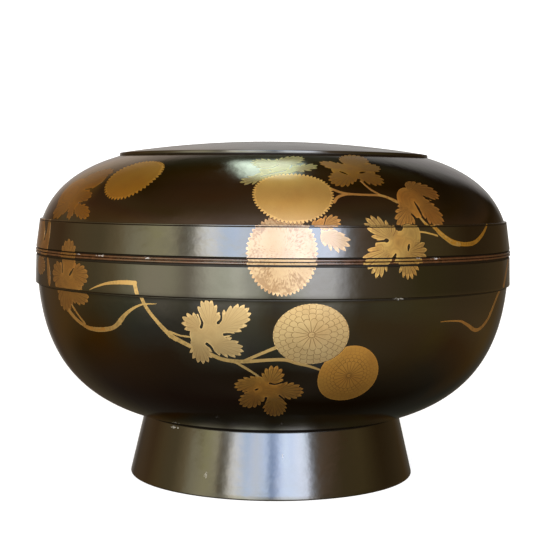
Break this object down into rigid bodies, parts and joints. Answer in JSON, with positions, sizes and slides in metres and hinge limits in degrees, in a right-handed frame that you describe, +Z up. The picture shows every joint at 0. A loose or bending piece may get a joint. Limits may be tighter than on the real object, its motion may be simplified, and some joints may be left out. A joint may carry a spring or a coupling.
{
  "type": "round lidded lacquer box",
  "caption": "Round black lacquer food box on a tall foot ring, with a domed lift-off lid banded at the seam and gold chrysanthemum sprays on both.",
  "frame": {"origin": "centre of the circle that the foot stands on", "axes": "+Z up along the turning axis; the pictured side with the main flowers faces -Y"},
  "size_m": [0.301, 0.301, 0.2115],
  "materials": {
    "black_lacquer": "turned wood under polished black-brown lacquer, with sprinkled gold flower sprays"
  },
  "bodies": {
    "root": {"body": "black_lacquer", "lid": "black_lacquer"}
  },
  "joints": []
}
